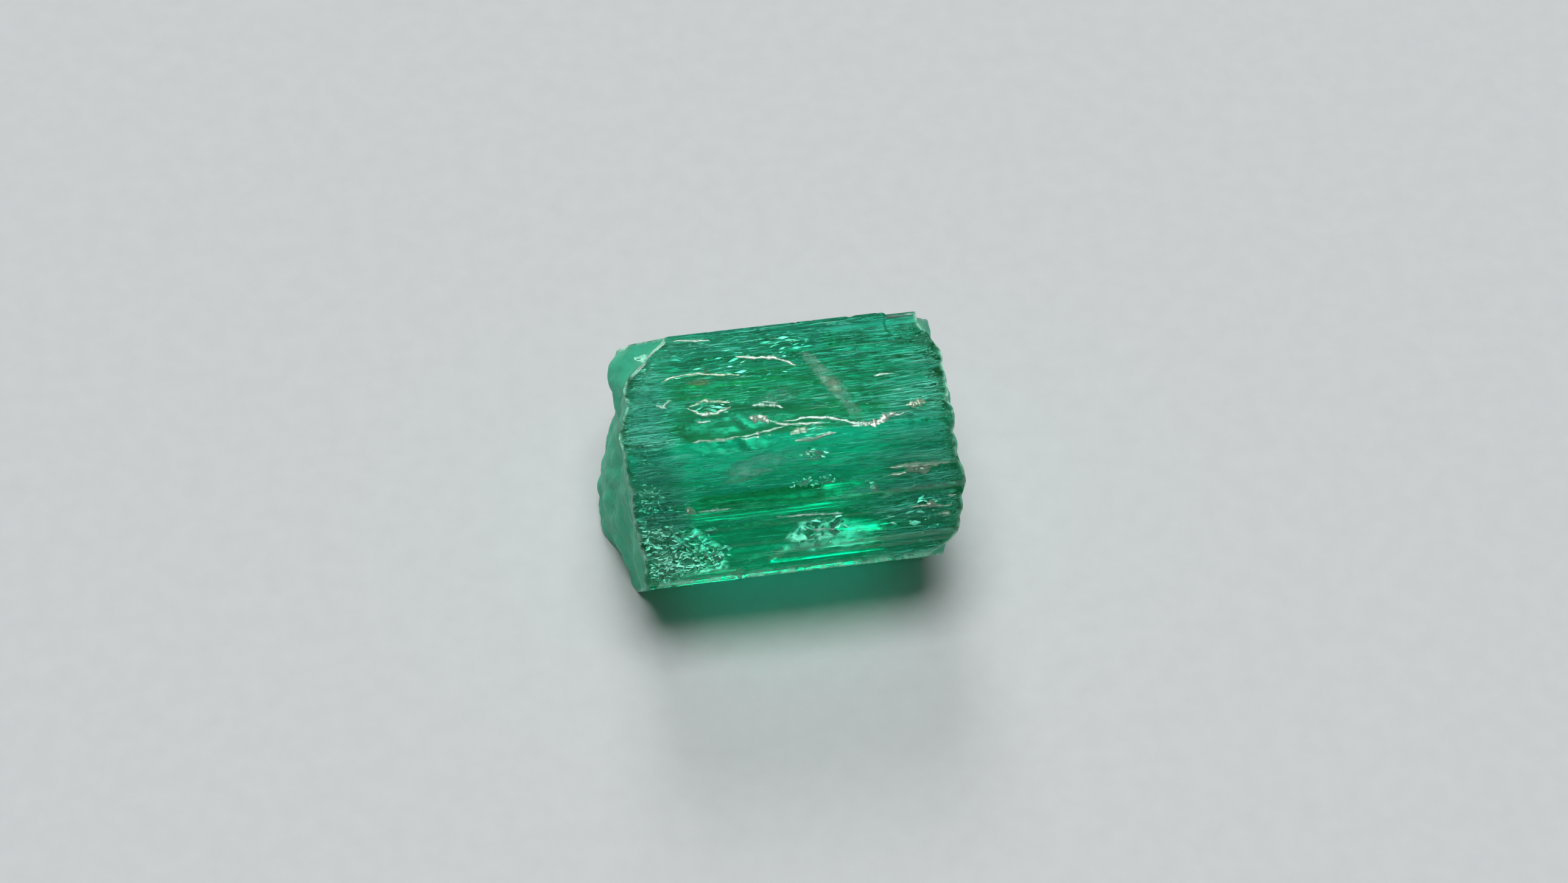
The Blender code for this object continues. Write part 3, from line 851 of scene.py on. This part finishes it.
# Cracks and silk seen as lines: (face, depth, width, milk, tint, path)
strands = (
    ("top", 0.15, 0.25, 0.85, 0.40, ((-1.9, 1.0), (-1.4, 1.1), (-1.0, 0.8))),
    ("top", 0.15, 0.10, 0.75, 0.36, ((-1.2, 0.9), (-0.3, 0.5), (1.3, 0.4))),
    ("top", 0.20, 0.10, 0.70, 0.33, (
        (-0.4, 0.7), (0.7, 0.8), (1.6, 0.7), (2.6, 0.2), (3.4, 0.1), (4.2, 0.3), (5.2, 0.4))),
    ("top", 0.10, 0.20, 0.90, 0.38, ((3.1, 0.1), (3.8, 0.1), (4.7, 0.5))),
    ("top", 0.10, 0.25, 0.95, 0.46, ((5.2, 0.7), (5.7, 0.9), (6.1, 0.8))),
    ("top", 0.20, 0.15, 0.85, 0.45, ((-0.2, 0.1), (0.2, 0.2), (0.7, 0.2))),
    ("top", 0.30, 0.08, 0.60, 0.33, ((-2.4, 0.2), (-1.1, 0.3), (-0.3, 0.5))),
    ("top", 0.10, 0.08, 0.30, 0.30, ((-4.6, 0.1), (-2.4, 0.1))),
    ("top", 0.30, 0.11, 0.80, 0.36, ((-1.7, 1.8), (-0.7, 1.7), (-0.3, 1.5))),
    ("top", 0.30, 0.07, 0.70, 0.36, ((-1.2, 1.9), (-0.5, 1.8))),
    ("top", 0.25, 0.12, 0.80, 0.42, ((-4.6, 2.0), (-4.0, 1.6), (-3.3, 1.6), (-2.6, 1.8))),
    ("top", 0.25, 0.10, 0.60, 0.48, ((-4.5, 2.1), (-3.8, 2.3), (-2.6, 2.1))),
    ("top", 0.25, 0.08, 0.75, 0.36, ((-4.3, 1.2), (-3.6, 1.2))),
    ("top", 0.25, 0.09, 0.75, 0.36, ((-6.0, 2.4), (-5.7, 2.2), (-5.3, 2.6))),
    ("top", 0.10, 0.12, 0.85, 0.38, ((-2.1, 4.5), (-1.3, 4.3), (-0.3, 4.2), (0.6, 3.6))),
    ("top", 0.10, 0.07, 0.80, 0.36, ((-4.8, 5.7), (-3.1, 5.6))),
    ("top", 0.15, 0.16, 0.45, 0.20, ((-6.7, 5.1), (-6.0, 5.2))),
    ("top", 0.15, 0.10, 0.45, 0.22, ((-6.6, 4.9), (-6.1, 5.0))),
    ("top", 0.20, 0.08, 0.75, 0.48, ((-5.6, 3.6), (-4.9, 3.8), (-3.9, 3.8), (-2.0, 3.5))),
    ("top", 0.20, 0.08, 0.65, 0.36, ((4.0, 2.6), (5.0, 2.6))),
    ("frontUpper", 0.20, 0.12, 0.85, 0.38, ((0.0, 6.7), (0.9, 6.7), (1.9, 6.9))),
    ("frontUpper", 0.35, 0.07, 0.80, 0.33, (
        (0.3, 5.7), (0.4, 6.0), (0.9, 6.0), (1.2, 5.8), (0.9, 5.6), (0.4, 5.7))),
    ("frontUpper", 0.40, 0.10, 0.80, 0.33, ((0.1, 4.4), (0.6, 4.6))),
    ("frontUpper", 0.40, 0.10, 0.80, 0.33, ((1.2, 4.4), (1.6, 4.3))),
    ("frontUpper", 0.30, 0.22, 0.80, 0.33, ((3.2, 3.9), (3.7, 3.7))),
    ("frontUpper", 0.15, 0.13, 0.95, 0.42, ((4.2, 4.8), (7.0, 4.7))),
    ("frontUpper", 0.25, 0.30, 0.55, 0.42, ((4.9, 4.6), (6.2, 4.6))),
    ("frontUpper", 0.15, 0.09, 0.85, 0.42, ((4.1, 4.4), (5.0, 4.4))),
    ("frontUpper", 0.15, 0.08, 0.75, 0.42, ((5.0, 2.7), (7.0, 2.5))),
    ("frontUpper", 0.15, 0.20, 0.90, 0.40, ((5.8, 2.7), (6.3, 2.6))),
    ("frontUpper", 0.15, 0.12, 0.80, 0.42, ((6.3, 2.1), (6.9, 2.1))),
    ("frontUpper", 0.15, 0.08, 0.60, 0.40, ((6.8, 3.0), (7.2, 3.0))),
    ("frontUpper", 0.20, 0.20, 0.80, 0.45, ((-5.2, 3.8), (-4.7, 3.7))),
    ("frontUpper", 0.30, 0.07, 0.60, 0.36, ((-4.6, 3.6), (-3.1, 3.6))),
    ("frontUpper", 0.30, 0.07, 0.75, 0.36, ((-1.1, 2.9), (2.0, 2.7))),
    ("frontUpper", 0.30, 0.08, 0.75, 0.33, ((0.1, 2.1), (1.6, 1.9))),
)
veil = {
    "around": 180,
    "rings": 40,
    "innermost": 0.02,
    "ragged": (0.05, 1.3),
    "filmSeed": 200,
    "strandSeed": 300,
    # lengths in millimetres
    "shallowest": 0.1,
    "strandStep": 0.05,
    "wiggle": (0.4, 0.45),
    "widthShare": (0.9, 0.6),
    "widthSize": 0.3,
    "widthLimits": (0.35, 1.6),
    "tip": 0.06,
    "strandSides": 6,
    "flatness": 0.22,
    "lean": {"top": -0.12, "frontUpper": 0.50},
    "swell": 1.8,
    "wander": (0.05, 1.6),
    "strandShine": 0.5,
    # dark green, sea green, milky white, straw, rust
    "tints": (
        (0.0, (0.02, 0.16, 0.09, 1)),
        (0.16, (0.12, 0.58, 0.38, 1)),
        (0.33, (0.90, 1.0, 0.93, 1)),
        (0.62, (0.95, 0.90, 0.55, 1)),
        (1.0, (0.60, 0.20, 0.02, 1)),
    ),
}


# A film: its outline drawn in to its middle, middle + r * (outline - middle), sunk by bulge * (1 - r^2)
def filmSurface(face, depth, bulge, relief, outline, seed):
    corners = np.array(outline)
    closed = np.concatenate([corners, corners[:1]])
    share = np.linspace(0, len(corners), veil["around"], endpoint=False)
    rim = np.stack([np.interp(share, np.arange(len(closed)), closed[:, axis]) for axis in (0, 1)], axis=-1)
    rim = (rim + np.roll(rim, 1, axis=0) + np.roll(rim, -1, axis=0)) / 3
    middle = rim.mean(axis=0)
    r = np.linspace(1, veil["innermost"], veil["rings"])[:, None]
    height, size = veil["ragged"]
    ragged = 1 + height * waves(share * 0.5, share * 0, size, seed)[None] * r
    place = middle + (r * ragged)[..., None] * (rim - middle)[None]
    sunk = depth + bulge * (1 - r**2) + relief[0] * waves(place[..., 0], place[..., 1], relief[1], seed + 1)
    sunk = np.maximum(sunk + veil["lean"][face] * (place[..., 1] - middle[1]), veil["shallowest"])
    points = onFace(face, place[..., 0] * mm, place[..., 1] * mm, sunk * mm).reshape(-1, 3)
    x, y, z = points.T
    points[:, 0] = np.clip(x, endSurface(y, z, -1) + jardin["margin"], endSurface(y, z, 1) - jardin["margin"])
    return points, np.broadcast_to(r, sunk.shape).ravel()


# A strand: a flat oval carried along a smoothed path, its width * sin(pi s)^0.5 with waves along it
def strandSurface(face, depth, width, path, seed):
    knots = np.array(path)
    lengths = np.concatenate([[0], np.cumsum(np.linalg.norm(np.diff(knots, axis=0), axis=1))])
    count = max(6, round(lengths[-1] / veil["strandStep"]))
    s = np.linspace(0, lengths[-1], count)
    line = np.stack([np.interp(s, lengths, knots[:, axis]) for axis in (0, 1)], axis=-1)
    wander, wanderSize = veil["wander"]
    wiggle, wiggleSize = veil["wiggle"]
    line[:, 1] += wiggle * width * waves(s, 0 * s, wiggleSize, seed)
    line[:, 1] += wander * waves(s, 0 * s, wanderSize, seed + 2)
    kernel = np.ones(3) / 3
    padded = np.concatenate([line[:1], line, line[-1:]])
    line = np.stack([np.convolve(padded[:, axis], kernel, "valid") for axis in (0, 1)], axis=-1)
    tangent = np.gradient(line, axis=0)
    tangent /= np.linalg.norm(tangent, axis=1)[:, None]
    base, swing = veil["widthShare"]
    uneven = np.clip(base + swing * waves(s, 0 * s, veil["widthSize"], seed + 1), *veil["widthLimits"])
    taper = np.sin(np.linspace(veil["tip"], math.pi - veil["tip"], count)) ** 0.5
    half = veil["swell"] * width / 2 * taper * uneven
    angle = np.arange(veil["strandSides"]) / veil["strandSides"] * math.tau
    side = half[:, None] * np.cos(angle)
    x = line[:, :1] - tangent[:, 1:] * side
    across = line[:, 1:] + tangent[:, :1] * side
    sunk = depth + veil["flatness"] * half[:, None] * np.sin(angle) + veil["lean"][face] * side
    points = onFace(face, x * mm, across * mm, sunk * mm).reshape(-1, 3)
    poles = onFace(face, line[[0, -1], 0] * mm, line[[0, -1], 1] * mm, np.full(2, depth * mm))
    return np.concatenate([points, poles]), closedFaces(count, veil["strandSides"])


# The faces of a film: quads between its rings, the innermost ring closed by one face
def filmFaces():
    rows, cols = veil["rings"], veil["around"]
    row, col = np.meshgrid(np.arange(rows - 1), np.arange(cols), indexing="ij")
    after = (col + 1) % cols
    here, there = row * cols, (row + 1) * cols
    quads = np.stack([here + col, here + after, there + after, there + col], -1).reshape(-1, 4)
    return quads.tolist() + [list(range((rows - 1) * cols, rows * cols))]


# Joins surfaces into one piece, each with its own milk and tint, and the rim share that films fade by
def joinPiece(name, surfaces, material):
    points, faces, values = [], [], {"milk": [], "tint": [], "rim": [], "shine": []}
    first = 0
    for spots, shape, milk, tint, rim, shine in surfaces:
        points.append(spots)
        faces += [[corner + first for corner in face] for face in shape]
        for key, value in (("milk", milk), ("tint", tint), ("rim", rim), ("shine", shine)):
            values[key].append(np.broadcast_to(value, len(spots)))
        first += len(spots)
    piece = makePiece(name, np.concatenate(points) + crystalShift, faces, material, sharpDegrees=50)
    for key, parts in values.items():
        piece.data.attributes.new(key, "FLOAT", "POINT").data.foreach_set("value", np.concatenate(parts))
    return piece


# Milky to straw to rust by tint; see-through by milk, thinning to the rim and in streaks
def makeVeilFinish():
    tree = Tree("veil")
    milk, tint, rim, shine = (tree.mark(key) for key in ("milk", "tint", "rim", "shine"))
    colour = tree.add("ShaderNodeValToRGB", {"stops": veil["tints"]}, {"Fac": tint})
    streak = tree.noise(2400.0, 4.0, (0.35, 1, 1), 0.62)
    fine = tree.noise(6000.0, 2.0, (0.5, 1, 1))
    cover = tree.span(streak * 0.6 + fine * 0.4, 0.42, 0.58)
    solid = 1 - tree.span(rim, 0.0, 0.02)
    alpha = milk * (1 - rim ** 3) * (cover * 0.85 + 0.15) + milk * solid * 0.3
    return tree.finish(tree.add("ShaderNodeBsdfPrincipled", sockets={
        "Base Color": colour, "Roughness": 0.45 - shine * 0.3, "Metallic": shine, "Alpha": alpha,
    }))


def makeVeils():
    surfaces = []
    for number, (face, depth, bulge, relief, milk, tint, shine, outline) in enumerate(filmsAndGlowSheets):
        spots, rim = filmSurface(face, depth, bulge, relief, outline, veil["filmSeed"] + number)
        surfaces.append((spots, filmFaces(), milk, tint, rim, shine))
    for number, (face, depth, width, milk, tint, path) in enumerate(strands):
        spots, shape = strandSurface(face, depth, width, path, veil["strandSeed"] + number)
        surfaces.append((spots, shape, milk, tint, 0.0, veil["strandShine"]))
    return joinPiece("veilsAndGlowSheets", surfaces, makeVeilFinish())


for piece in makeFlecks() + makeGlints() + [makeTubes(), makeVeils()]:
    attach(piece, "root")


setting = {
    "floorHalf": 0.6,
    "floorGap": 0.00004,
    "floorColour": ((0.66, 0.675, 0.68, 1), (0.73, 0.745, 0.75, 1)),
    "floorGrain": 900.0,
    "floorRoughness": 0.9,
    "floorGloss": 0.2,
    "skyColour": (0.97, 0.99, 1.0, 1),
    "skyStrength": 0.05,
    # azimuth from +Y towards +X, elevation, angle of the full core and of the faded rim, brightness
    "skyPatches": (
        (0, 83, 17.5, 20.5, 7.2),
        (0, 83, 8, 15, -3.0),
        (0, 54, 4, 14, 0.12),
        (0, 37, 6, 13, 10.0),
    ),
}


# The pale surface that the crystal lies on, just under its rest face
def makeFloor():
    half, z = setting["floorHalf"], crystalLow[2] - setting["floorGap"]
    tree = Tree("paper")
    surface = tree.add("ShaderNodeBsdfPrincipled", sockets={
        "Base Color": tree.mix(tree.noise(setting["floorGrain"]), *setting["floorColour"]),
        "Roughness": setting["floorRoughness"],
        "Specular IOR Level": setting["floorGloss"],
    })
    floor = makePiece("floor", [(-half, -half, z), (half, -half, z), (half, half, z), (-half, half, z)],
                      [(0, 1, 2, 3)], tree.finish(surface))


makeFloor()


# A dim even sky with soft bright patches: strength = base + patch * smooth(direction . axis)
def makeSky():
    world = bpy.data.worlds.new("sky")
    world.use_nodes = True
    bpy.context.scene.world = world
    tree = Tree(None, world.node_tree)
    way = tree.add("ShaderNodeTexCoord", output="Generated")
    strength = setting["skyStrength"]
    for azimuth, lift, core, rim, bright in setting["skyPatches"]:
        turn, rise = math.radians(azimuth), math.radians(lift)
        axis = (math.sin(turn) * math.cos(rise), math.cos(turn) * math.cos(rise), math.sin(rise))
        near = tree.add("ShaderNodeVectorMath", {"operation": "DOT_PRODUCT"}, {0: way, 1: axis},
                        output="Value")
        patch = tree.add("ShaderNodeMapRange", {"interpolation_type": "SMOOTHSTEP"}, {
            "Value": near,
            "From Min": math.cos(math.radians(rim)),
            "From Max": math.cos(math.radians(core)),
        })
        strength = strength + patch * bright
    back = tree.add("ShaderNodeBackground", sockets={"Color": setting["skyColour"], "Strength": strength})
    out = tree.nodes.new("ShaderNodeOutputWorld")
    tree.links.new(back.socket, out.inputs["Surface"])


makeSky()

camera = {
    "yaw": math.radians(7.892),
    "elevation": math.radians(56.72),
    "roll": math.radians(-0.05),
    "target": (0.57 * mm, 0.43 * mm, 5.0 * mm),
    "distance": 160 * mm,
    "lens": 78.46,
    "sensor": 36.0,
}


# The camera looks at its target from above the front, turned by the yaw
def makeCamera():
    data = bpy.data.cameras.new("camera")
    data.lens = camera["lens"]
    data.sensor_width = camera["sensor"]
    data.clip_start = 0.01
    data.clip_end = 10
    seen = bpy.data.objects.new("camera", data)
    yaw, lift = camera["yaw"], camera["elevation"]
    look = Vector((math.sin(yaw) * math.cos(lift), math.cos(yaw) * math.cos(lift), -math.sin(lift)))
    turn = look.to_track_quat("-Z", "Y").to_matrix() @ Matrix.Rotation(camera["roll"], 3, "Z")
    seen.matrix_world = Matrix.LocRotScale(Vector(camera["target"]) - look * camera["distance"], turn, None)
    bpy.context.scene.collection.objects.link(seen)
    bpy.context.scene.camera = seen


makeCamera()
scene = bpy.context.scene
scene.view_settings.view_transform = "Standard"
scene.cycles.max_bounces = 32
scene.cycles.transmission_bounces = 20
scene.cycles.transparent_max_bounces = 24
scene.cycles.diffuse_bounces = 10
scene.cycles.glossy_bounces = 12
